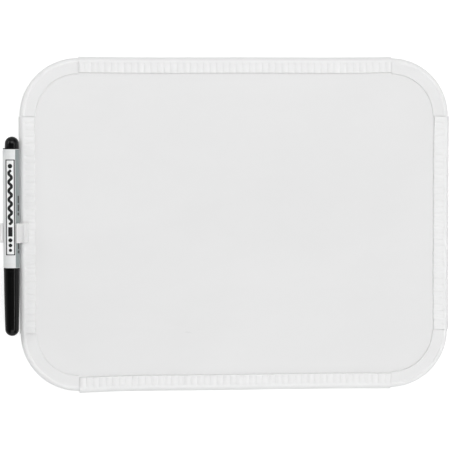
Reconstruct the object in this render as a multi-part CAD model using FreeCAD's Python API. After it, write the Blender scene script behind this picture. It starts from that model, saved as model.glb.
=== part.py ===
import FreeCAD, Part
import math
import os

# ---------------------------------------------------------------------------
# Personal dry-erase board with a ribbed snap-on frame and a clipped marker.
# Millimetres. The board lies on its back: +Z is the normal of the writing
# face, +Y is the top edge of the board, +X its right edge. The origin is the
# centre of the footprint, marker clip included, on the plane that the back
# rim rests on. Shapes are drawn about the board's own centre and moved at the
# end by BOARD_X.
# ---------------------------------------------------------------------------

V = FreeCAD.Vector

# board outline
BOARD_W = 279.4          # 11 in
BOARD_H = 215.9          # 8.5 in
CORNER_SPAN = 38.1       # 1.5 in from the outer edge to the joint line

# laminated panel
PANEL_INSET = 4.8        # edge of the panel, in from the outer edge
PANEL_Z0 = 2.70
BACK_T = 0.40
CORE_T = 3.55
SHEET_T = 0.45
PANEL_Z1 = PANEL_Z0 + BACK_T + CORE_T + SHEET_T   # writing surface, 7.10

# straight edge channel
TRIM_T = 8.5             # crest of the ribs above the back rim
TRIM_LIP = 10.3          # width of the lip over the writing face
TRIM_WALL = 1.6
SHOULDER_A = 3.3         # smooth shoulder: width of its quarter ellipse
SHOULDER_B = 3.5         # and its height
RIB_PITCH = 25.4 / 6.0
RIB_DEPTH = 0.42
RIB_START = 3.15         # the valleys run out to nothing here
RIB_FULL = 4.45          # and reach full depth here
JOINT_GAP = 0.10         # each channel stops this far short of the corner
REBATE_D = 1.40          # step along the back, where the clip hooks in
REBATE_W = 6.8
GROOVE_CLEAR = 0.04

# moulded corner
CORNER_DROP = 0.5        # outer face stands back from the channels
CORNER_T = 7.96          # flat of the front
CORNER_BEAD = 8.26       # crest of the low bead along the outer edge
CORNER_LIP = 10.9
TONGUE_LEN = 32.0
TONGUE_U0, TONGUE_U1 = 1.70, 4.60
TONGUE_Z0, TONGUE_Z1 = 2.85, 6.95

# marker, axis along Y
PEN_OUT = 4.88           # axis of the marker, out from the board's left edge
PEN_X = -BOARD_W / 2.0 - PEN_OUT
PEN_Z = 10.6
Y_CAP_END = -70.75
Y_MOUTH = -26.85
Y_BARREL_END = 49.05
Y_FLANGE = 49.70
Y_TAIL = 57.12
R_LABEL = 5.30
LABEL_T = 0.14
R_BARREL = R_LABEL - LABEL_T
R_BARREL_IN = 4.20
R_NECK = 4.17
NECK_LEN = 10.0
R_NECK_IN = 3.40
R_DOME = 4.52
DOME_SHIFT = 0.55        # the dome stands off the axis, towards the board
R_CAP_MOUTH = 5.17
R_CAP_WAIST = 4.88       # half way along, where the taper bows out a little
R_CAP_END = 4.45
R_CAP_BORE = 4.24

# marker clip
CLIP_LEN = 12.6
CLIP_Y = -4.55           # middle of the clip
CLIP_BORE = R_LABEL + 0.06
CLIP_R = 7.50
CLIP_GAP = 0.16          # clearance of the saddle on the channel
CLIP_T = 1.25            # thickness of the saddle
CLIP_TONGUE = 6.1        # reach of the saddle over the lip
JAW_RIGHT_DEG = 28.5     # jaw tips, measured from the front of the marker
JAW_LEFT_DEG = 74.0

BOARD_X = (PEN_OUT + CLIP_R) / 2.0

os.makedirs("parts", exist_ok=True)
made = {}


def save(name, shape):
    shape = shape.removeSplitter()
    solids = shape.Solids
    if len(solids) == 1:
        shape = solids[0]
    shape = shape.copy()
    shape.translate(V(BOARD_X, 0, 0))
    made[name] = shape
    shape.exportStep("parts/" + name + ".step")
    print("%-22s valid=%s solids=%d volume=%.1f" % (name, shape.isValid(), len(solids), shape.Volume))


def seg(a, b):
    return Part.LineSegment(a, b).toShape()


def arc3(a, m, b):
    return Part.Arc(a, m, b).toShape()


def rounded_plate(inset, z0, z1):
    """Rounded rectangle plate, inset from the board's outer edge."""
    w, h = BOARD_W / 2.0 - inset, BOARD_H / 2.0 - inset
    r = CORNER_SPAN - inset
    s = r * (1.0 - math.sqrt(0.5))
    p = lambda x, y: V(x, y, z0)
    edges = [
        seg(p(-w + r, -h), p(w - r, -h)), arc3(p(w - r, -h), p(w - s, -h + s), p(w, -h + r)),
        seg(p(w, -h + r), p(w, h - r)), arc3(p(w, h - r), p(w - s, h - s), p(w - r, h)),
        seg(p(w - r, h), p(-w + r, h)), arc3(p(-w + r, h), p(-w + s, h - s), p(-w, h - r)),
        seg(p(-w, h - r), p(-w, -h + r)), arc3(p(-w, -h + r), p(-w + s, -h + s), p(-w + r, -h)),
    ]
    return Part.Face(Part.Wire(edges)).extrude(V(0, 0, z1 - z0))


def profile(to3d, pts):
    """Closed wire from a list of points; ('arc', mid, end) marks an arc and
    ('curve', [(mid, end), ...]) a run of arcs."""
    edges = []
    cur = pts[0]
    for item in pts[1:] + [pts[0]]:
        if isinstance(item[0], str):
            runs = [(item[1], item[2])] if item[0] == "arc" else item[1]
            for mid, end in runs:
                edges.append(arc3(to3d(*cur), to3d(*mid), to3d(*end)))
                cur = end
        else:
            if abs(item[0] - cur[0]) + abs(item[1] - cur[1]) > 1e-7:
                edges.append(seg(to3d(*cur), to3d(*item)))
            cur = item
    return Part.Face(Part.Wire(edges))


def corner_arc(cx, cy, r, a0, a1):
    """Arc item about (cx, cy) from angle a0 to a1, in degrees."""
    am = math.radians((a0 + a1) / 2.0)
    ae = math.radians(a1)
    return ("arc", (cx + r * math.cos(am), cy + r * math.sin(am)),
            (cx + r * math.cos(ae), cy + r * math.sin(ae)))


def shoulder_run(u0, z_top, a=SHOULDER_A, b=SHOULDER_B, n=3):
    """Runs of arcs from the front face (u0 + a, z_top) round to (u0, z_top - b)."""
    out = []
    for i in range(n):
        seg_pts = []
        for k in (1, 2):
            t = math.radians(90.0 + 90.0 * (2 * i + k) / (2.0 * n))
            seg_pts.append((u0 + a + a * math.cos(t), z_top - b + b * math.sin(t)))
        out.append((seg_pts[0], seg_pts[1]))
    return ("curve", out)


# ---------------------------------------------------------------------------
# laminated panel
# ---------------------------------------------------------------------------
z = PANEL_Z0
save("backing_sheet", rounded_plate(PANEL_INSET, z, z + BACK_T))
z += BACK_T
save("core_panel", rounded_plate(PANEL_INSET, z, z + CORE_T))
z += CORE_T
save("writing_sheet", rounded_plate(PANEL_INSET, z, z + SHEET_T))


# ---------------------------------------------------------------------------
# straight edge channels: u runs in from the outer edge, z up
# ---------------------------------------------------------------------------
def trim_section(to3d):
    top = TRIM_T + 0.03
    zg0, zg1 = PANEL_Z0 - GROOVE_CLEAR, PANEL_Z1 + GROOVE_CLEAR
    lip = TRIM_LIP
    pts = [
        (0.0, REBATE_D + 0.6),
        corner_arc(0.6, REBATE_D + 0.6, 0.6, 180, 270),
        (REBATE_W, REBATE_D),
        (REBATE_W, 0.3),
        corner_arc(REBATE_W + 0.3, 0.3, 0.3, 180, 270),
        (lip - 0.6, 0.0),
        corner_arc(lip - 0.6, 0.6, 0.6, 270, 360),
        (lip, zg0),
        (TRIM_WALL, zg0),
        (TRIM_WALL, zg1),
        (lip - 0.5, zg1),
        (lip, zg1 + 0.16),
        (lip - 0.05, top - 0.55),
        corner_arc(lip - 0.6, top - 0.55, 0.55, 0, 90),
        (SHOULDER_A, top),
        shoulder_run(0.0, top, SHOULDER_A, top - (TRIM_T - SHOULDER_B)),
    ]
    return profile(to3d, pts)


def trim(length, ribs):
    """Channel centred on the origin, running along X, outer edge at y = 0."""
    half = length / 2.0 - JOINT_GAP
    body = trim_section(lambda u, zz: V(-half, u, zz)).extrude(V(2 * half, 0, 0))
    # everything above the scalloped rib line is removed
    p = length / ribs
    y0 = 0.4
    edges = []
    a = V(-length / 2.0 - p, y0, TRIM_T - RIB_DEPTH)
    start = a
    for i in range(-1, ribs + 1):
        xm = -length / 2.0 + (i + 0.5) * p
        b = V(xm + p / 2.0, y0, TRIM_T - RIB_DEPTH)
        edges.append(arc3(a, V(xm, y0, TRIM_T), b))
        a = b
    up = 3.0
    edges += [seg(a, a + V(0, 0, up)), seg(a + V(0, 0, up), start + V(0, 0, up)), seg(start + V(0, 0, up), start)]
    cutter = Part.Face(Part.Wire(edges)).extrude(V(0, TRIM_LIP + 2.0, 0))
    ribbed = body.cut(cutter)
    # the crest line carries on over the outer band, where the valleys run out
    slope = (RIB_FULL - RIB_START) / RIB_DEPTH
    zc, zl = TRIM_T, TRIM_T - RIB_DEPTH - 0.2
    wedge = profile(lambda u, zz: V(-half, u, zz), [
        (RIB_START, zc), (RIB_START - 2.9, zc), (RIB_START - 2.9, zl),
        (RIB_START + (zc - zl) * slope, zl),
    ]).extrude(V(2 * half, 0, 0))
    return ribbed.fuse(body.common(wedge))


long_run = BOARD_W - 2 * CORNER_SPAN
short_run = BOARD_H - 2 * CORNER_SPAN
long_trim = trim(long_run, int(round(long_run / RIB_PITCH)))
short_trim = trim(short_run, int(round(short_run / RIB_PITCH)))


def placed(shape, angle, x, y):
    s = shape.copy()
    s.Placement = FreeCAD.Placement(V(x, y, 0), FreeCAD.Rotation(V(0, 0, 1), angle))
    return s


save("trim_bottom", placed(long_trim, 0, 0, -BOARD_H / 2.0))
save("trim_top", placed(long_trim, 180, 0, BOARD_H / 2.0))
save("trim_left", placed(short_trim, -90, -BOARD_W / 2.0, 0))
save("trim_right", placed(short_trim, 90, BOARD_W / 2.0, 0))


# ---------------------------------------------------------------------------
# moulded corners: quarter ring with a tongue at each end
# ---------------------------------------------------------------------------
def corner():
    """Top-left corner about its own arc centre at the origin."""
    zg0, zg1 = PANEL_Z0 - GROOVE_CLEAR, PANEL_Z1 + GROOVE_CLEAR
    u0, lip, top = CORNER_DROP, CORNER_LIP, CORNER_T
    groove = PANEL_INSET - 0.08
    pts = [
        (u0, 1.5),
        corner_arc(u0 + 1.5, 1.5, 1.5, 180, 270),
        (lip - 0.6, 0.0),
        corner_arc(lip - 0.6, 0.6, 0.6, 270, 360),
        (lip, zg0),
        (groove, zg0),
        (groove, zg1),
        (lip - 0.5, zg1),
        (lip, zg1 + 0.16),
        (lip - 0.05, top - 0.6),
        corner_arc(lip - 0.65, top - 0.6, 0.6, 0, 90),
        # step up to the bead: two equal arcs, 0.15 mm of rise each
        (u0 + 3.6, top),
        ("arc", (u0 + 3.363, top + 0.0385), (u0 + 3.15, top + 0.15)),
        ("arc", (u0 + 2.937, CORNER_BEAD - 0.0385), (u0 + 2.7, CORNER_BEAD)),
        shoulder_run(u0, CORNER_BEAD, 2.7, 3.4),
    ]
    # section in the plane y = 0 on the -X side, radius = CORNER_SPAN - u
    face = profile(lambda u, zz: V(-(CORNER_SPAN - u), 0, zz), pts)
    ring = face.revolve(V(0, 0, 0), V(0, 0, 1), -90)
    tw = TONGUE_U1 - TONGUE_U0
    th = TONGUE_Z1 - TONGUE_Z0
    root = 3.0
    a = Part.makeBox(tw, TONGUE_LEN + root, th, V(-(CORNER_SPAN - TONGUE_U0), -TONGUE_LEN, TONGUE_Z0))
    b = Part.makeBox(TONGUE_LEN + root, tw, th, V(-root, CORNER_SPAN - TONGUE_U1, TONGUE_Z0))

    def lead(box, pick):
        return box.makeChamfer(0.8, [e for e in box.Edges if pick(e)])

    a = lead(a, lambda e: all(abs(v.Point.y + TONGUE_LEN) < 1e-6 for v in e.Vertexes))
    b = lead(b, lambda e: all(abs(v.Point.x - TONGUE_LEN) < 1e-6 for v in e.Vertexes))
    return ring.fuse([a, b])


one_corner = corner()
cx, cy = BOARD_W / 2.0 - CORNER_SPAN, BOARD_H / 2.0 - CORNER_SPAN
save("corner_top_left", placed(one_corner, 0, -cx, cy))
save("corner_bottom_left", placed(one_corner, 90, -cx, -cy))
save("corner_bottom_right", placed(one_corner, 180, cx, -cy))
save("corner_top_right", placed(one_corner, 270, cx, cy))


# ---------------------------------------------------------------------------
# marker clip: snap ring on a saddle that hooks over the left channel
# ---------------------------------------------------------------------------
def clip():
    y0 = CLIP_Y - CLIP_LEN / 2.0
    xl = -BOARD_W / 2.0
    at = lambda u, zz: V(xl + u, y0, zz)
    run = V(0, CLIP_LEN, 0)
    g, t = CLIP_GAP, CLIP_T
    reach = CLIP_TONGUE

    # outer envelope of the saddle
    out = g + t
    ztop = TRIM_T + out
    zbot = 0.14
    saddle = profile(at, [
        (-out, zbot + 1.3),
        corner_arc(-out + 1.3, zbot + 1.3, 1.3, 180, 270),
        (reach - 0.4, zbot),
        corner_arc(reach - 0.4, zbot + 0.4, 0.4, 270, 360),
        (reach, ztop - 0.7),
        corner_arc(reach - 0.7, ztop - 0.7, 0.7, 0, 90),
        (SHOULDER_A, ztop),
        shoulder_run(-out, ztop, SHOULDER_A + out, SHOULDER_B + out),
    ]).extrude(run)

    ring = Part.makeCylinder(CLIP_R, CLIP_LEN, V(PEN_X, y0, PEN_Z), V(0, 1, 0))
    # web that ties the ring to the saddle below the marker
    web = profile(at, [
        (-4.4, 4.6), (-0.9, 2.4), (1.0, 4.0), (1.0, 7.0), (-2.0, 7.5),
    ]).extrude(run)
    solid = saddle.fuse([ring, web])

    # bore for the marker
    bore = Part.makeCylinder(CLIP_BORE, CLIP_LEN + 2, V(PEN_X, y0 - 1, PEN_Z), V(0, 1, 0))
    # mouth of the ring, between the two jaw tips
    far = 20.0
    ar, al = math.radians(JAW_RIGHT_DEG), math.radians(JAW_LEFT_DEG)
    c = V(PEN_X, y0 - 1, PEN_Z)
    pr = c + V(far * math.sin(ar), 0, far * math.cos(ar))
    pl = c + V(-far * math.sin(al), 0, far * math.cos(al))
    pm = c + V(-6.0, 0, far)
    mouth = Part.Face(Part.Wire([seg(c, pr), seg(pr, pm), seg(pm, pl), seg(pl, c)])).extrude(V(0, CLIP_LEN + 2, 0))
    # room for the channel, with running clearance
    at2 = lambda u, zz: V(xl + u, y0 - 1, zz)
    room = profile(at2, [
        (-g, REBATE_D - g),
        (20.0, REBATE_D - g),
        (20.0, TRIM_T + g),
        (SHOULDER_A, TRIM_T + g),
        shoulder_run(-g, TRIM_T + g, SHOULDER_A + g, SHOULDER_B + g),
    ]).extrude(V(0, CLIP_LEN + 2, 0))
    solid = solid.cut(bore).cut(mouth).cut(room)
    solid = solid.removeSplitter()
    return solid


one_clip = clip()
tips = []
for e in one_clip.Edges:
    if abs(e.Length - CLIP_LEN) < 1e-4:
        p = e.Vertexes[0].Point
        d = math.hypot(p.x - PEN_X, p.z - PEN_Z)
        ang = math.degrees(math.atan2(p.x - PEN_X, p.z - PEN_Z))
        if (abs(d - CLIP_R) < 1e-3 or abs(d - CLIP_BORE) < 1e-3) and (abs(ang - JAW_RIGHT_DEG) < 0.1 or abs(ang + JAW_LEFT_DEG) < 0.1):
            tips.append(e)
try:
    r = one_clip.makeFillet(0.75, tips)
    if r.isValid():
        one_clip = r
except Exception as err:
    print("jaw tips stay square:", err)
# hollow fillets where the ring grows out of the saddle
roots = []
for e in one_clip.Edges:
    if abs(e.Length - CLIP_LEN) < 1e-4:
        p = e.Vertexes[0].Point
        d = math.hypot(p.x - PEN_X, p.z - PEN_Z)
        u = p.x + BOARD_W / 2.0
        on_ring = abs(d - CLIP_R) < 1e-3
        if (on_ring and 0.0 < u and p.z < PEN_Z) or (on_ring and u < 0.0 and p.z < 5.0) or (abs(u + CLIP_GAP + CLIP_T) < 1e-3 and 2.0 < p.z < 4.5):
            roots.append(e)
try:
    r = one_clip.makeFillet(0.7, roots)
    if r.isValid() and len(r.Solids) == 1:
        one_clip = r
    else:
        print("ring roots stay sharp")
except Exception as err:
    print("ring roots stay sharp:", err)
ends = []
for e in one_clip.Edges:
    ys = [v.Point.y for v in e.Vertexes]
    flat = all(abs(y - (CLIP_Y - CLIP_LEN / 2.0)) < 1e-5 for y in ys) or all(abs(y - (CLIP_Y + CLIP_LEN / 2.0)) < 1e-5 for y in ys)
    if flat and e.Length > 1.2:
        mid = e.valueAt((e.FirstParameter + e.LastParameter) / 2.0)
        u = mid.x + BOARD_W / 2.0
        inner = math.hypot(mid.x - PEN_X, mid.z - PEN_Z) < CLIP_BORE + 0.05
        under = -CLIP_GAP - 0.05 < u and REBATE_D - CLIP_GAP - 0.05 < mid.z < TRIM_T + CLIP_GAP + 0.05
        if not inner and not under:
            ends.append(e)
try:
    r = one_clip.makeFillet(0.35, ends)
    if r.isValid() and len(r.Solids) == 1:
        one_clip = r
    else:
        print("clip ends stay square")
except Exception as err:
    print("clip ends stay square:", err)
save("marker_clip", one_clip)


# ---------------------------------------------------------------------------
# marker: solids of revolution about the line x = PEN_X, z = PEN_Z
# ---------------------------------------------------------------------------
def turned(pts, dx=0.0):
    """Revolve a profile of (radius, y) about the marker's axis."""
    face = profile(lambda r, y: V(PEN_X + dx + r, y, PEN_Z), pts)
    return face.revolve(V(PEN_X + dx, 0, PEN_Z), V(0, 1, 0), 360)


yb = Y_MOUTH
# barrel: tube, shoulder at the cap's mouth, and the neck that the cap grips
barrel = turned([
    (R_BARREL_IN, Y_BARREL_END),
    (R_BARREL - 0.2, Y_BARREL_END),
    corner_arc(R_BARREL - 0.2, Y_BARREL_END - 0.2, 0.2, 90, 0),
    (R_BARREL, yb + 0.2),
    corner_arc(R_BARREL - 0.2, yb + 0.2, 0.2, 0, -90),
    (R_NECK, yb),
    (R_NECK, yb - NECK_LEN + 0.5),
    (R_NECK - 0.4, yb - NECK_LEN),
    (R_NECK_IN, yb - NECK_LEN),
    (R_NECK_IN, yb + 4.0),
    (R_BARREL_IN, yb + 5.5),
])
save("marker_barrel", barrel)

# printed sleeve on the barrel
save("marker_label", turned([
    (R_BARREL + 0.01, Y_BARREL_END - 0.25),
    (R_LABEL, Y_BARREL_END - 0.25),
    (R_LABEL, yb + 0.25),
    (R_BARREL + 0.01, yb + 0.25),
]))

# tail plug: spigot in the tube, flange on its end, dome off the axis
spigot = turned([
    (0.0, Y_BARREL_END - 7.0),
    (R_BARREL_IN - 0.6, Y_BARREL_END - 7.0),
    (R_BARREL_IN - 0.02, Y_BARREL_END - 5.8),
    (R_BARREL_IN - 0.02, Y_BARREL_END),
    (R_LABEL - 0.25, Y_BARREL_END),
    corner_arc(R_LABEL - 0.25, Y_BARREL_END + 0.25, 0.25, -90, 0),
    (R_LABEL, Y_FLANGE - 0.35),
    corner_arc(R_LABEL - 0.35, Y_FLANGE - 0.35, 0.35, 0, 90),
    (0.0, Y_FLANGE),
])
yc = Y_TAIL - R_DOME
dome = turned([
    (0.0, Y_FLANGE - 0.5),
    (R_DOME + 0.12, Y_FLANGE - 0.5),
    (R_DOME, yc),
    corner_arc(0.0, yc, R_DOME, 0, 90),
], DOME_SHIFT)
save("marker_end_plug", spigot.fuse(dome))

# ink store and its film
Y_RES0, Y_RES1 = yb + 7.5, Y_BARREL_END - 9.0
R_RES = 3.80
save("ink_reservoir", turned([
    (0.0, Y_RES1), (R_RES - 0.3, Y_RES1), (R_RES, Y_RES1 - 0.3),
    (R_RES, Y_RES0 + 0.3), (R_RES - 0.3, Y_RES0), (2.06, Y_RES0),
    (2.06, Y_RES0 + 9.0), (0.0, Y_RES0 + 9.0),
]))
save("reservoir_wrap", turned([
    (R_RES + 0.01, Y_RES1 - 0.6), (R_RES + 0.16, Y_RES1 - 0.6),
    (R_RES + 0.16, Y_RES0 + 0.6), (R_RES + 0.01, Y_RES0 + 0.6),
]))

# nose cone with a pressed-in spigot and an air-gap collar
R_NIB = 2.0
yn = yb - NECK_LEN
save("nib_holder", turned([
    (R_NIB + 0.02, yb + 6.8),
    (R_NECK_IN - 0.5, yb + 6.8),
    (R_NECK_IN - 0.02, yb + 5.6),
    (R_NECK_IN - 0.02, yn),
    (R_NECK - 0.35, yn),
    (R_NECK - 0.25, yn - 0.5),
    (R_NECK - 0.25, yn - 1.4),
    (3.45, yn - 1.9),
    (2.75, yn - 16.0),
    corner_arc(2.55, yn - 16.0, 0.2, 0, -90),
    (R_NIB + 0.02, yn - 16.2),
]))

# bullet nib
y_tip = yn - 21.6
tip_r = 1.5
save("marker_nib", turned([
    (0.0, Y_RES0 + 8.6),
    (R_NIB - 0.5, Y_RES0 + 8.6),
    (R_NIB, Y_RES0 + 7.2),
    (R_NIB, y_tip + 3.4),
    ("arc", (1.85, y_tip + 1.954), (tip_r * math.sin(math.radians(55)), y_tip + tip_r - tip_r * math.cos(math.radians(55)))),
    corner_arc(0.0, y_tip + tip_r, tip_r, -35, -90),
]))

# cap: tapered shell with a round closed end
R_E = R_CAP_END
ye = Y_CAP_END + R_E
R_IN = 3.72
save("marker_cap", turned([
    (R_CAP_BORE, Y_MOUTH - 0.05),
    (R_CAP_MOUTH - 0.3, Y_MOUTH - 0.05),
    corner_arc(R_CAP_MOUTH - 0.3, Y_MOUTH - 0.35, 0.3, 90, 0),
    (R_CAP_MOUTH, Y_MOUTH - 2.2),
    (R_CAP_MOUTH - 0.06, Y_MOUTH - 2.3),
    ("arc", (R_CAP_WAIST, -48.0), (R_E * math.cos(math.radians(2.0)), ye + R_E * math.sin(math.radians(2.0)))),
    corner_arc(0.0, ye, R_E, 2.0, -90),
    (0.0, Y_CAP_END + 1.6),
    (1.2, Y_CAP_END + 1.7),
    (2.9, Y_CAP_END + 3.6),
    (R_IN - 0.15, Y_CAP_END + 6.0),
    (R_IN, Y_MOUTH - 13.0),
    (R_CAP_BORE, Y_MOUTH - 12.2),
]))

# inner cup that closes on the nose cone
y_s0 = Y_MOUTH - 14.2
y_s1 = Y_MOUTH - 35.0
cap_in = lambda y: R_IN - 0.15 * ((Y_MOUTH - 13.0) - y) / ((Y_MOUTH - 13.0) - (Y_CAP_END + 6.0))
cone = lambda y: 3.45 - (3.45 - 2.75) * ((yn - 1.9) - y) / 14.1
save("cap_seal", turned([
    (cone(y_s0) + 0.10, y_s0),
    (cap_in(y_s0) - 0.015, y_s0),
    (cap_in(y_s1 + 0.8) - 0.015, y_s1 + 0.8),
    (cap_in(y_s1 + 0.8) - 0.6, y_s1),
    (0.0, y_s1),
    (0.0, y_s1 + 0.9),
    (2.5, y_s1 + 0.9),
    (2.72, yn - 16.4),
    (2.90, yn - 16.0),
]))

lo = [min(s.BoundBox.XMin for s in made.values()), min(s.BoundBox.YMin for s in made.values()), min(s.BoundBox.ZMin for s in made.values())]
hi = [max(s.BoundBox.XMax for s in made.values()), max(s.BoundBox.YMax for s in made.values()), max(s.BoundBox.ZMax for s in made.values())]
print("box", [round(v, 3) for v in lo], [round(v, 3) for v in hi])
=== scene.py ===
import math

import bmesh
import bpy
from mathutils import Matrix, Quaternion, Vector


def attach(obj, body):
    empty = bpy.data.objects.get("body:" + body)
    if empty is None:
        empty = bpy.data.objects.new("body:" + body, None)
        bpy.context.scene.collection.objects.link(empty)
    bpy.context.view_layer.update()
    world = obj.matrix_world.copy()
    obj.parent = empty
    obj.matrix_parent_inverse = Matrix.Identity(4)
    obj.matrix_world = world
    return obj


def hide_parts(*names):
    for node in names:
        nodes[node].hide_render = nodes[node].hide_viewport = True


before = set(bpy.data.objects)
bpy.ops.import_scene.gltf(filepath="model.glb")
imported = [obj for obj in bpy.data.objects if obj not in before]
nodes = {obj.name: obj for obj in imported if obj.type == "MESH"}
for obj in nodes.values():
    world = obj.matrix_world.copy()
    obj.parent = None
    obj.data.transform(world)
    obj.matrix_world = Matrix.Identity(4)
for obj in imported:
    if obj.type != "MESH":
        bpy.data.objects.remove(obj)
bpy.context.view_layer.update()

MM = 0.001

# driving sizes, in millimetres, as in the solid model
BOARD_W, BOARD_H, CORNER_SPAN = 279.4, 215.9, 38.1
BOARD_X = 6.19
TRIM_T, TRIM_LIP = 8.5, 10.3
RIB_DEPTH, RIB_START, RIB_FULL = 0.42, 3.15, 4.45
RIB_PITCH = 25.4 / 6.0
JOINT_GAP = 0.10
PEN_X, PEN_Z, R_LABEL = -138.39, 10.6, 5.30


# ---------------------------------------------------------------------------
# node graph helper
# ---------------------------------------------------------------------------
class Graph:
    """A material's node tree, with short calls for the nodes used here."""

    def __init__(self, name):
        self.mat = bpy.data.materials.new(name)
        self.mat.use_nodes = True
        self.tree = self.mat.node_tree
        self.tree.nodes.clear()
        self.out = self.tree.nodes.new("ShaderNodeOutputMaterial")
        self.bsdf = self.tree.nodes.new("ShaderNodeBsdfPrincipled")
        self.tree.links.new(self.bsdf.outputs["BSDF"], self.out.inputs["Surface"])
        self.coord = self.tree.nodes.new("ShaderNodeTexCoord").outputs["Object"]

    def put(self, socket, value):
        if isinstance(value, bpy.types.NodeSocket):
            self.tree.links.new(value, socket)
        else:
            socket.default_value = value

    def set(self, **values):
        for key, value in values.items():
            self.put(self.bsdf.inputs[key.replace("_", " ")], value)

    def math(self, op, a, b=0.0, c=0.0, clamp=False):
        n = self.tree.nodes.new("ShaderNodeMath")
        n.operation = op
        n.use_clamp = clamp
        self.put(n.inputs[0], a)
        self.put(n.inputs[1], b)
        self.put(n.inputs[2], c)
        return n.outputs[0]

    def add(self, a, b):
        return self.math("ADD", a, b)

    def sub(self, a, b):
        return self.math("SUBTRACT", a, b)

    def mul(self, a, b):
        return self.math("MULTIPLY", a, b)

    def scaled(self, scale, vector=None):
        n = self.tree.nodes.new("ShaderNodeMapping")
        self.put(n.inputs["Vector"], vector or self.coord)
        n.inputs["Scale"].default_value = scale
        return n.outputs[0]

    def noise(self, scale, detail=2.0, rough=0.5, vector=None, distortion=0.0):
        n = self.tree.nodes.new("ShaderNodeTexNoise")
        self.put(n.inputs["Vector"], vector or self.coord)
        n.inputs["Scale"].default_value = scale
        n.inputs["Detail"].default_value = detail
        n.inputs["Roughness"].default_value = rough
        n.inputs["Distortion"].default_value = distortion
        return n.outputs["Fac"]

    def voronoi(self, scale, feature="F1", vector=None):
        n = self.tree.nodes.new("ShaderNodeTexVoronoi")
        n.feature = feature
        self.put(n.inputs["Vector"], vector or self.coord)
        n.inputs["Scale"].default_value = scale
        return n.outputs["Distance"]

    def span(self, value, lo, hi, to_lo=0.0, to_hi=1.0, smooth=False):
        n = self.tree.nodes.new("ShaderNodeMapRange")
        n.interpolation_type = "SMOOTHSTEP" if smooth else "LINEAR"
        self.put(n.inputs["Value"], value)
        n.inputs["From Min"].default_value = lo
        n.inputs["From Max"].default_value = hi
        n.inputs["To Min"].default_value = to_lo
        n.inputs["To Max"].default_value = to_hi
        return n.outputs["Result"]

    def mix(self, fac, a, b):
        n = self.tree.nodes.new("ShaderNodeMix")
        n.data_type = "RGBA"
        self.put(n.inputs["Factor"], fac)
        self.put(n.inputs[6], a)
        self.put(n.inputs[7], b)
        return n.outputs[2]

    def tint(self, fac, dark, light):
        """Colour between two close tones by a 0..1 factor."""
        return self.mix(fac, dark + (1.0,), light + (1.0,))

    def bump(self, height, distance, strength=1.0, normal=None):
        n = self.tree.nodes.new("ShaderNodeBump")
        n.inputs["Strength"].default_value = strength
        n.inputs["Distance"].default_value = distance
        self.put(n.inputs["Height"], height)
        if normal is not None:
            self.put(n.inputs["Normal"], normal)
        return n.outputs["Normal"]

    def axes(self):
        n = self.tree.nodes.new("ShaderNodeSeparateXYZ")
        self.put(n.inputs[0], self.coord)
        return n.outputs[0], n.outputs[1], n.outputs[2]


def grey(v, warm=0.0):
    return (v * (1.0 + warm), v, v * (1.0 - warm))


# ---------------------------------------------------------------------------
# materials
# ---------------------------------------------------------------------------
def moulded_white(name, tone, rough, grain=1.0):
    """Injection-moulded white plastic: fine spark texture, faint flow tone."""
    g = Graph(name)
    flow = g.noise(38.0, 3.0, 0.55, distortion=0.6)
    speck = g.noise(2600.0, 1.0)
    fac = g.add(g.mul(g.span(flow, 0.3, 0.7), 0.7), g.mul(g.span(speck, 0.3, 0.7), 0.3))
    g.set(Base_Color=g.tint(fac, grey(tone * 0.982), grey(tone * 1.010, -0.001)))
    g.set(Roughness=g.span(g.noise(260.0, 3.0), 0.25, 0.75, rough - 0.05, rough + 0.06))
    g.set(IOR=1.49, Subsurface_Weight=0.45, Subsurface_Radius=(1.0, 1.0, 1.0), Subsurface_Scale=0.0016)
    fine = g.bump(g.noise(2100.0, 2.0), 0.000012 * grain, 0.6)
    g.set(Normal=g.bump(g.noise(90.0, 2.0), 0.00004, 0.35, fine))
    return g.mat


def extruded_white(name, along_x, tone, rough):
    """Extruded white channel: streaks drawn along the run, painted shade darkening the rib valleys and the faces
    below them.
    """
    g = Graph(name)
    stretch = (6.0, 900.0, 900.0) if along_x else (900.0, 6.0, 900.0)
    streak = g.noise(1.0, 3.0, 0.6, vector=g.scaled(stretch))
    flow = g.noise(26.0, 3.0, 0.5)
    x, y, z = g.axes()
    # painted shade: the tone darkens from the rib tops into the valleys and stays darker on all faces lower than
    # the valleys
    valley_shade = g.span(z, (TRIM_T - RIB_DEPTH) * MM, TRIM_T * MM, 0.0, 1.0, True)
    fac = g.add(g.mul(g.span(streak, 0.3, 0.7), 0.3), g.add(g.mul(g.span(flow, 0.3, 0.7), 0.3), g.mul(valley_shade, 0.4)))
    g.set(Base_Color=g.tint(fac, grey(tone * 0.975), grey(tone * 1.012, -0.001)))
    g.set(Roughness=g.span(g.add(g.mul(streak, 0.6), g.mul(g.noise(300.0, 2.0), 0.4)), 0.3, 0.7, rough - 0.05, rough + 0.06))
    g.set(IOR=1.49, Subsurface_Weight=0.45, Subsurface_Radius=(1.0, 1.0, 1.0), Subsurface_Scale=0.0016)
    lines = g.bump(streak, 0.000010, 0.5)
    g.set(Normal=g.bump(g.noise(1700.0, 2.0), 0.000008, 0.5, lines))
    return g.mat


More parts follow.
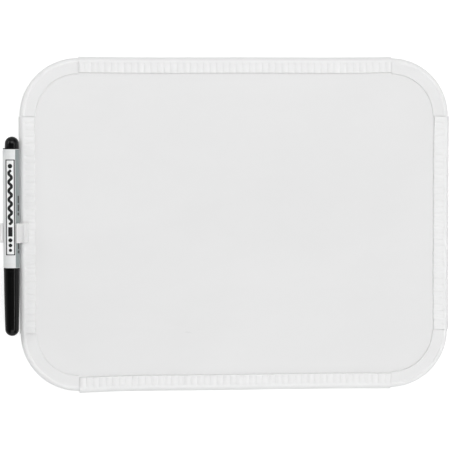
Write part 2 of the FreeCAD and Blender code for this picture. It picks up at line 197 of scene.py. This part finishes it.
def writing_coat():
    """Glossy dry-erase coat on steel: orange peel, faint wiped haze."""
    g = Graph("dry_erase_coat")
    haze = g.noise(1.0, 4.0, 0.6, vector=g.scaled((9.0, 26.0, 1.0)), distortion=1.2)
    cloud = g.noise(11.0, 4.0, 0.55, distortion=0.4)
    fac = g.add(g.mul(g.span(haze, 0.3, 0.7), 0.4), g.mul(g.span(cloud, 0.3, 0.7), 0.6))
    g.set(Base_Color=g.tint(fac, grey(0.812), grey(0.840)))
    g.set(Roughness=g.span(haze, 0.25, 0.75, 0.27, 0.31))
    g.set(IOR=1.52, Coat_Weight=0.35, Coat_Roughness=0.12)
    peel = g.bump(g.noise(420.0, 2.0, 0.45), 0.000016, 0.5)
    g.set(Normal=g.bump(g.noise(60.0, 1.0), 0.00003, 0.3, peel))
    return g.mat


def fibreboard():
    g = Graph("raw_fibreboard")
    fibre = g.noise(1.0, 4.0, 0.65, vector=g.scaled((900.0, 1400.0, 420.0)))
    blot = g.noise(55.0, 3.0)
    fac = g.add(g.mul(g.span(fibre, 0.25, 0.75), 0.7), g.mul(blot, 0.3))
    g.set(Base_Color=g.tint(fac, (0.26, 0.165, 0.092), (0.52, 0.37, 0.235)))
    g.set(Roughness=g.span(fibre, 0.3, 0.7, 0.78, 0.95))
    g.set(Normal=g.bump(fibre, 0.00012, 0.8))
    return g.mat


def card_liner():
    """Grey board liner: pressed fibres, a few darker and paler flecks."""
    g = Graph("grey_card")
    warp = g.noise(1.0, 5.0, 0.62, vector=g.scaled((260.0, 1500.0, 1.0)), distortion=1.5)
    weft = g.noise(1.0, 4.0, 0.6, vector=g.scaled((1300.0, 340.0, 1.0)), distortion=1.5)
    pulp = g.noise(90.0, 4.0, 0.6)
    fac = g.add(g.mul(g.span(warp, 0.3, 0.7), 0.35), g.add(g.mul(g.span(weft, 0.3, 0.7), 0.3), g.mul(g.span(pulp, 0.3, 0.7), 0.35)))
    base = g.tint(fac, (0.50, 0.485, 0.455), (0.66, 0.65, 0.625))
    fleck = g.span(g.voronoi(620.0), 0.03, 0.12, 1.0, 0.0)
    chosen = g.span(g.noise(140.0, 1.0), 0.60, 0.64)
    base = g.mix(g.mul(fleck, chosen), base, (0.20, 0.185, 0.165, 1.0))
    g.set(Base_Color=base)
    g.set(Roughness=g.span(pulp, 0.3, 0.7, 0.80, 0.94))
    both = g.add(warp, weft)
    g.set(Normal=g.bump(both, 0.00005, 0.6))
    return g.mat


def black_plastic(name, rough, shine):
    """Satin black moulding: soft sheen, fine grain, faint handling marks."""
    g = Graph(name)
    cloud = g.noise(160.0, 3.0, 0.55)
    fine = g.noise(2400.0, 1.5)
    g.set(Base_Color=g.tint(g.span(cloud, 0.3, 0.7), (0.0016, 0.0016, 0.0017), (0.0026, 0.0026, 0.0028)))
    rub = g.noise(1.0, 3.0, 0.6, vector=g.scaled((500.0, 60.0, 500.0)), distortion=0.8)
    g.set(Roughness=g.span(rub, 0.25, 0.75, rough - 0.05, rough + 0.06))
    g.set(IOR=1.47, Specular_IOR_Level=shine)
    g.set(Normal=g.bump(fine, 0.000010, 0.5))
    return g.mat


def gloss_white(name, tone, rough):
    g = Graph(name)
    flow = g.noise(120.0, 3.0, 0.5, distortion=0.5)
    g.set(Base_Color=g.tint(g.span(flow, 0.3, 0.7), grey(tone * 0.98), grey(tone * 1.01)))
    g.set(Roughness=g.span(g.noise(700.0, 2.0), 0.3, 0.7, rough - 0.03, rough + 0.05))
    g.set(IOR=1.49)
    g.set(Normal=g.bump(g.noise(1500.0, 2.0), 0.000006, 0.5))
    return g.mat


def printed_film():
    """Silver-grey wrap with a side band, a framed white field and a plain ink mark."""
    g = Graph("printed_film")
    x, y, z = g.axes()
    ang = g.math("ARCTAN2", g.sub(x, PEN_X * MM), g.sub(z, PEN_Z * MM))
    wob = g.sub(g.noise(900.0, 2.0), 0.5)
    s = g.add(g.mul(ang, R_LABEL), g.mul(wob, 0.05))
    t = g.add(g.mul(y, 1000.0), g.mul(g.sub(g.noise(1100.0, 2.0), 0.5), 0.05))
    soft = 0.035

    def inside(d):
        return g.span(d, -soft, soft, 1.0, 0.0, True)

    def box(cs, ct, hs, ht, r):
        a = g.math("MAXIMUM", g.sub(g.math("ABSOLUTE", g.sub(s, cs)), hs - r), 0.0)
        b = g.math("MAXIMUM", g.sub(g.math("ABSOLUTE", g.sub(t, ct)), ht - r), 0.0)
        return g.sub(g.math("SQRT", g.add(g.mul(a, a), g.mul(b, b))), r)

    def disc(cs, ct, r):
        a, b = g.sub(s, cs), g.sub(t, ct)
        return g.sub(g.math("SQRT", g.add(g.mul(a, a), g.mul(b, b))), r)

    def either(*ds):
        out = ds[0]
        for d in ds[1:]:
            out = g.math("MINIMUM", out, d)
        return out

    flake = g.noise(3200.0, 1.0)
    tone = g.noise(70.0, 2.0)
    fac = g.add(g.mul(g.span(flake, 0.3, 0.7), 0.5), g.mul(tone, 0.5))
    base = g.tint(fac, (0.762, 0.772, 0.775), (0.818, 0.826, 0.828))
    # side band, from right of the front round towards the back
    band = g.mul(g.span(s, 2.78 - soft, 2.78 + soft, 0.0, 1.0, True), g.span(s, 12.4 - soft, 12.4 + soft, 1.0, 0.0, True))
    base = g.mix(band, base, g.tint(fac, (0.248, 0.286, 0.286), (0.274, 0.313, 0.313)))
    # framed field
    cs, ct, hs, ht = -0.70, 11.95, 3.15, 30.55
    frame_d = box(cs, ct, hs, ht, 0.35)
    base = g.mix(inside(frame_d), base, (0.012, 0.013, 0.014, 1.0))
    base = g.mix(inside(box(cs, ct, hs - 0.80, ht - 0.60, 0.2)), base, g.tint(fac, (0.872, 0.876, 0.876), (0.896, 0.898, 0.898)))
    # plain mark: a pen stroke that swings to and fro, a bar and three dots
    amp, per, half_w = 0.88, 5.6, 0.92
    top, end = 35.2, 1.6
    w = 2.0 * math.pi / per
    ph = g.mul(g.sub(t, top), w)
    dev = g.sub(g.sub(s, cs), g.mul(g.math("SINE", ph), amp))
    slope = g.mul(g.math("COSINE", ph), amp * w)
    gap = g.math("DIVIDE", g.math("ABSOLUTE", dev), g.math("SQRT", g.add(g.mul(slope, slope), 1.0)))
    wave = g.sub(gap, half_w)
    wave = g.math("MAXIMUM", wave, g.sub(g.math("ABSOLUTE", g.sub(t, (top + end) / 2.0)), (top - end) / 2.0))
    stub_a, stub_b = disc(cs, top, half_w), disc(cs, end, half_w)
    mark = either(wave, stub_a, stub_b, disc(cs, 38.3, 1.45), box(cs, -3.6, 1.40, 3.0, 0.25), disc(cs, -9.0, 1.30), disc(cs, -12.3, 1.18), disc(cs, -15.4, 1.05))
    base = g.mix(inside(mark), base, (0.006, 0.006, 0.007, 1.0))
    # thin rules and bullets on the side band
    rules = either(box(5.5, 16.9, 0.90, 2.4, 0.1), box(5.5, 11.6, 0.90, 2.1, 0.1), disc(5.4, 7.6, 1.0), box(5.5, -12.7, 0.90, 2.2, 0.1), disc(5.4, -16.6, 1.0))
    base = g.mix(inside(rules), base, (0.014, 0.015, 0.016, 1.0))
    # overlap of the film along the back
    seam = g.span(g.math("ABSOLUTE", g.sub(g.math("ABSOLUTE", s), 16.2)), 0.0, 0.10, 1.0, 0.0)
    base = g.mix(g.mul(seam, 0.5), base, (0.30, 0.31, 0.31, 1.0))
    g.set(Base_Color=base)
    g.set(Roughness=g.span(g.noise(240.0, 3.0), 0.25, 0.75, 0.30, 0.40))
    g.set(IOR=1.5, Coat_Weight=0.25, Coat_Roughness=0.16)
    ink = g.bump(inside(mark), 0.000012, 0.6)
    g.set(Normal=g.bump(g.add(g.noise(55.0, 2.0), g.mul(seam, -0.6)), 0.00003, 0.4, ink))
    return g.mat


def fibre_rod(name, dark, light, along=(1500.0, 90.0, 1500.0)):
    g = Graph(name)
    strand = g.noise(1.0, 4.0, 0.6, vector=g.scaled(along))
    blot = g.noise(300.0, 2.0)
    g.set(Base_Color=g.tint(g.add(g.mul(strand, 0.7), g.mul(blot, 0.3)), dark, light))
    g.set(Roughness=g.span(strand, 0.3, 0.7, 0.72, 0.92))
    g.set(Normal=g.bump(strand, 0.00006, 0.8))
    return g.mat


def soft_seal():
    g = Graph("soft_seal")
    cloud = g.noise(210.0, 3.0)
    g.set(Base_Color=g.tint(cloud, (0.70, 0.70, 0.675), (0.80, 0.80, 0.78)))
    g.set(Roughness=g.span(cloud, 0.3, 0.7, 0.45, 0.58))
    g.set(Subsurface_Weight=0.25, Subsurface_Scale=0.001)
    g.set(Normal=g.bump(g.noise(1600.0, 2.0), 0.00001, 0.5))
    return g.mat


frame_x = extruded_white("frame_plastic_x", True, 0.862, 0.40)
frame_y = extruded_white("frame_plastic_y", False, 0.862, 0.40)
corner_white = moulded_white("corner_plastic", 0.858, 0.38)
# painted shade: the clip's moulded white is set darker than the corners' to stand for the shade it sits in
# beside the marker
shaded_clip_white = moulded_white("clip_plastic", 0.778, 0.34, 0.8)
barrel_white = gloss_white("barrel_plastic", 0.86, 0.28)
cap_black = black_plastic("cap_plastic", 0.20, 0.21)
plug_black = black_plastic("plug_plastic", 0.13, 0.30)

finish_of = {
    "writing_sheet": writing_coat(),
    "core_panel": fibreboard(),
    "backing_sheet": card_liner(),
    "corner_top_left": corner_white,
    "corner_top_right": corner_white,
    "corner_bottom_left": corner_white,
    "corner_bottom_right": corner_white,
    "trim_top": frame_x,
    "trim_bottom": frame_x,
    "trim_left": frame_y,
    "trim_right": frame_y,
    "marker_clip": shaded_clip_white,
    "marker_barrel": barrel_white,
    "marker_label": printed_film(),
    "marker_end_plug": plug_black,
    "ink_reservoir": fibre_rod("ink_fibre", (0.008, 0.008, 0.010), (0.030, 0.030, 0.036)),
    "reservoir_wrap": gloss_white("wrap_film", 0.74, 0.22),
    "nib_holder": gloss_white("holder_plastic", 0.84, 0.30),
    "marker_nib": fibre_rod("nib_felt", (0.006, 0.006, 0.008), (0.024, 0.024, 0.029)),
    "marker_cap": cap_black,
    "cap_seal": soft_seal(),
}
for name, mat in finish_of.items():
    me = nodes[name].data
    me.materials.clear()
    me.materials.append(mat)


# ---------------------------------------------------------------------------
# ribbed edge channels, finer than the solids they stand for
# ---------------------------------------------------------------------------
def arc_pts(cx, cz, r, a0, a1, n):
    return [(cx + r * math.cos(math.radians(a0 + (a1 - a0) * i / n)),
             cz + r * math.sin(math.radians(a0 + (a1 - a0) * i / n))) for i in range(n + 1)]


def channel_outline():
    """Closed section (u in from the outer edge, z up)."""
    top = TRIM_T + 0.03
    lip = TRIM_LIP
    pts = [(0.0, 3.4)]
    pts += arc_pts(0.6, 2.0, 0.6, 180, 270, 5)
    pts += [(3.6, 1.4), (6.55, 1.4), (6.8, 1.15)]
    pts += arc_pts(7.1, 0.3, 0.3, 180, 270, 3)
    pts += arc_pts(lip - 0.6, 0.6, 0.6, 270, 360, 5)
    pts += [(lip, 2.46), (lip - 0.2, 2.66), (1.6, 2.66), (1.6, 7.14), (lip - 0.5, 7.14), (lip, 7.30)]
    pts += arc_pts(lip - 0.6, top - 0.55, 0.55, 0, 90, 6)
    pts += [(u, top) for u in (8.6, 7.2, 5.9, 4.9, 4.45, 4.2, 3.95, 3.72, 3.52)]
    pts += [(3.3 + 3.3 * math.cos(math.radians(a)), 5.0 + 3.53 * math.sin(math.radians(a)))
            for a in (90, 97, 105, 114, 123, 132, 141, 150, 158, 166, 173, 180)]
    return pts


def soft_min(a, b, k):
    h = max(k - abs(a - b), 0.0) / k
    return min(a, b) - h * h * k * 0.25


def channel(name, length, ribs, to_row, flare):
    half = length / 2.0 - JOINT_GAP
    pitch = length / ribs
    outline = channel_outline()
    count = len(outline)
    # inward normals of the section, for the eased ends
    inward = []
    for i in range(count):
        a, b = outline[i - 1], outline[(i + 1) % count]
        du, dz = b[0] - a[0], b[1] - a[1]
        n = math.hypot(du, dz) or 1.0
        inward.append((-dz / n, du / n))
    stops = [-half, -half + 0.08]
    parts = (0.0, 0.05, 0.13, 0.26, 0.42, 0.58, 0.74, 0.87, 0.95)
    for i in range(ribs):
        for f in parts:
            s = -length / 2.0 + (i + f) * pitch
            if -half + 0.16 < s < half - 0.16:
                stops.append(s)
    stops += [half - 0.08, half]

    bm = bmesh.new()
    rings = []
    for k, s in enumerate(stops):
        ease = 0.06 if k in (0, len(stops) - 1) else 0.0
        f = ((s + length / 2.0) / pitch) % 1.0
        dip = (2.0 * f - 1.0) ** 2
        # the two cusps of a valley run into each other with a small radius
        edge = min(f, 1.0 - f)
        if edge < 0.06:
            dip -= (0.06 - edge) ** 2 * 18.0
        rib_z = TRIM_T - RIB_DEPTH * dip
        run = [max(0.0, 1.0 - (s + half) / 38.0), max(0.0, 1.0 - (half - s) / 38.0)]
        out = flare[0] * run[0] ** 2 + flare[1] * run[1] ** 2
        out += 0.05 * math.sin(s * 0.061 + length) * (1.0 - run[0]) * (1.0 - run[1])
        ring = []
        for i, (u, z) in enumerate(outline):
            if z > 7.4:
                fade = min(max((u - RIB_START) / (RIB_FULL - RIB_START), 0.0), 1.0)
                fade = fade * fade * (3.0 - 2.0 * fade)
                line = TRIM_T - (TRIM_T - rib_z) * fade
                z = soft_min(z, line, 0.10) if u > 3.0 else z
            u2 = u + inward[i][0] * ease
            z2 = z + inward[i][1] * ease
            ring.append(bm.verts.new(Vector(to_row(s, u2 - out, z2)) * MM))
        rings.append(ring)
    for a, b in zip(rings, rings[1:]):
        for i in range(count):
            j = (i + 1) % count
            bm.faces.new((a[i], a[j], b[j], b[i]))
    bm.faces.new(rings[0][::-1])
    bm.faces.new(rings[-1])
    bmesh.ops.recalc_face_normals(bm, faces=bm.faces)
    me = bpy.data.meshes.new(name)
    bm.to_mesh(me)
    bm.free()
    for p in me.polygons:
        p.use_smooth = True
    me.set_sharp_from_angle(angle=math.radians(36))
    ob = bpy.data.objects.new(name, me)
    bpy.context.scene.collection.objects.link(ob)
    return ob


long_run = BOARD_W - 2 * CORNER_SPAN
short_run = BOARD_H - 2 * CORNER_SPAN
long_ribs = int(round(long_run / RIB_PITCH))
short_ribs = int(round(short_run / RIB_PITCH))
w2, h2 = BOARD_W / 2.0, BOARD_H / 2.0
for name, length, ribs, to_row, flare, mat in (
    ("trim_bottom", long_run, long_ribs, lambda s, u, z: (BOARD_X + s, -h2 + u, z), (0.85, 0.35), frame_x),
    ("trim_top", long_run, long_ribs, lambda s, u, z: (BOARD_X - s, h2 - u, z), (0.40, 0.40), frame_x),
    ("trim_left", short_run, short_ribs, lambda s, u, z: (BOARD_X - w2 + u, -s, z), (0.08, 0.08), frame_y),
    ("trim_right", short_run, short_ribs, lambda s, u, z: (BOARD_X + w2 - u, s, z), (0.30, 0.30), frame_y),
):
    piece = channel("channel_" + name[5:], length, ribs, to_row, flare)
    piece.data.materials.append(mat)
    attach(piece, "board")
    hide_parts(name)


# ---------------------------------------------------------------------------
# stage: pale floor, large soft boxes round the board, weak surrounding light
# ---------------------------------------------------------------------------
bm = bmesh.new()
bmesh.ops.create_grid(bm, x_segments=2, y_segments=2, size=9.0)
floor_me = bpy.data.meshes.new("floor")
bm.to_mesh(floor_me)
bm.free()
floor = bpy.data.objects.new("floor", floor_me)
floor.location = (0.0, 0.0, -0.0004)
bpy.context.scene.collection.objects.link(floor)
fm = bpy.data.materials.new("pale_floor")
fm.use_nodes = True
ft = fm.node_tree
ft.nodes.clear()
f_out = ft.nodes.new("ShaderNodeOutputMaterial")
f_seen = ft.nodes.new("ShaderNodeEmission")
f_tc = ft.nodes.new("ShaderNodeTexCoord")
f_far = ft.nodes.new("ShaderNodeVectorMath")
f_far.operation = "LENGTH"
ft.links.new(f_tc.outputs["Object"], f_far.inputs[0])
f_glow = ft.nodes.new("ShaderNodeMapRange")
f_glow.interpolation_type = "SMOOTHSTEP"
for key, value in (("From Min", 0.20), ("From Max", 0.75), ("To Min", 0.62), ("To Max", 0.97)):
    f_glow.inputs[key].default_value = value
ft.links.new(f_far.outputs["Value"], f_glow.inputs["Value"])
ft.links.new(f_glow.outputs["Result"], f_seen.inputs["Strength"])
f_dif = ft.nodes.new("ShaderNodeBsdfDiffuse")
f_dif.inputs["Color"].default_value = (0.60, 0.60, 0.60, 1.0)
f_sum = ft.nodes.new("ShaderNodeAddShader")
f_lit = ft.nodes.new("ShaderNodeEmission")
f_lit.inputs["Strength"].default_value = 0.83
f_path = ft.nodes.new("ShaderNodeLightPath")
f_geo = ft.nodes.new("ShaderNodeNewGeometry")
f_clear = ft.nodes.new("ShaderNodeBsdfTransparent")
f_ray = ft.nodes.new("ShaderNodeMixShader")
f_side = ft.nodes.new("ShaderNodeMixShader")
ft.links.new(f_seen.outputs[0], f_sum.inputs[0])
ft.links.new(f_dif.outputs[0], f_sum.inputs[1])
ft.links.new(f_path.outputs["Is Camera Ray"], f_ray.inputs["Fac"])
ft.links.new(f_lit.outputs[0], f_ray.inputs[1])
ft.links.new(f_sum.outputs[0], f_ray.inputs[2])
ft.links.new(f_geo.outputs["Backfacing"], f_side.inputs["Fac"])
ft.links.new(f_ray.outputs[0], f_side.inputs[1])
ft.links.new(f_clear.outputs[0], f_side.inputs[2])
ft.links.new(f_side.outputs[0], f_out.inputs["Surface"])
floor_me.materials.append(fm)


def softbox(name, place, aim, size, watts):
    data = bpy.data.lights.new(name, "AREA")
    data.shape = "RECTANGLE"
    data.size, data.size_y = size
    data.energy = watts
    ob = bpy.data.objects.new(name, data)
    ob.location = place
    way = Vector(aim) - Vector(place)
    ob.rotation_mode = "QUATERNION"
    ob.rotation_quaternion = way.to_track_quat("-Z", "Y")
    ob.visible_camera = False
    bpy.context.scene.collection.objects.link(ob)
    return ob


for name, place, aim, size, watts in (
    ("box_top", (0.0, 0.70, 1.34), (0.0, 0.0, 0.0), (1.3, 0.85), 9.6),
    ("box_bottom", (0.02, -0.84, 1.30), (0.0, -0.1, 0.0), (1.2, 0.7), 7.3),
    ("low_top", (0.0, 1.5, 0.55), (0.0, 0.0, 0.0), (1.4, 0.5), 2.2),
    ("low_bottom", (0.0, -1.5, 0.55), (0.0, 0.0, 0.0), (1.4, 0.5), 4.9),
    ("low_left", (-1.6, 0.0, 0.50), (0.0, 0.0, 0.0), (1.6, 0.5), 0.6),
    ("low_right", (1.6, 0.0, 0.48), (0.0, 0.0, 0.0), (1.6, 0.5), 3.7),
    ("strip_right", (1.17, 0.05, 1.51), (-0.138, -0.05, 0.01), (1.8, 0.13), 8.2),
    ("strip_left", (-1.05, 0.50, 0.54), (-0.138, 0.05, 0.01), (0.8, 0.20), 3.0),
):
    softbox(name, place, aim, size, watts)

world = bpy.data.worlds.new("surround")
bpy.context.scene.world = world
world.use_nodes = True
wt = world.node_tree
wt.nodes.clear()
w_out = wt.nodes.new("ShaderNodeOutputWorld")
w_bg = wt.nodes.new("ShaderNodeBackground")
w_seen = wt.nodes.new("ShaderNodeBackground")
w_seen.inputs["Color"].default_value = (1.0, 1.0, 1.0, 1.0)
w_seen.inputs["Strength"].default_value = 1.0
w_tc = wt.nodes.new("ShaderNodeTexCoord")
w_sep = wt.nodes.new("ShaderNodeSeparateXYZ")
w_up = wt.nodes.new("ShaderNodeMapRange")
for key, value in (("From Min", -0.02), ("From Max", 0.02), ("To Min", 0.0), ("To Max", 0.12)):
    w_up.inputs[key].default_value = value
wt.links.new(w_tc.outputs["Generated"], w_sep.inputs[0])
wt.links.new(w_sep.outputs["Z"], w_up.inputs["Value"])
w_path = wt.nodes.new("ShaderNodeLightPath")
w_mix = wt.nodes.new("ShaderNodeMixShader")
wt.links.new(w_up.outputs["Result"], w_bg.inputs["Strength"])
wt.links.new(w_path.outputs["Is Camera Ray"], w_mix.inputs["Fac"])
wt.links.new(w_bg.outputs[0], w_mix.inputs[1])
wt.links.new(w_seen.outputs[0], w_mix.inputs[2])
wt.links.new(w_mix.outputs[0], w_out.inputs["Surface"])

scene = bpy.context.scene
scene.view_settings.view_transform = "Standard"
scene.view_settings.look = "None"

# ---------------------------------------------------------------------------
# camera: high above the board, a little to the left and towards its top edge
# ---------------------------------------------------------------------------
cam_data = bpy.data.cameras.new("camera")
cam_data.sensor_fit = "HORIZONTAL"
cam_data.sensor_width = 36.0
cam_data.lens = 172.49
cam_data.clip_start = 0.05
cam_data.clip_end = 50.0
cam = bpy.data.objects.new("camera", cam_data)
turn = Vector((0.0485429, 0.0878493, 0.0036604))
cam.rotation_mode = "QUATERNION"
cam.rotation_quaternion = Quaternion(turn.normalized(), -turn.length)
cam.location = (-0.123158, 0.067413, 1.395680)
scene.collection.objects.link(cam)
scene.camera = cam
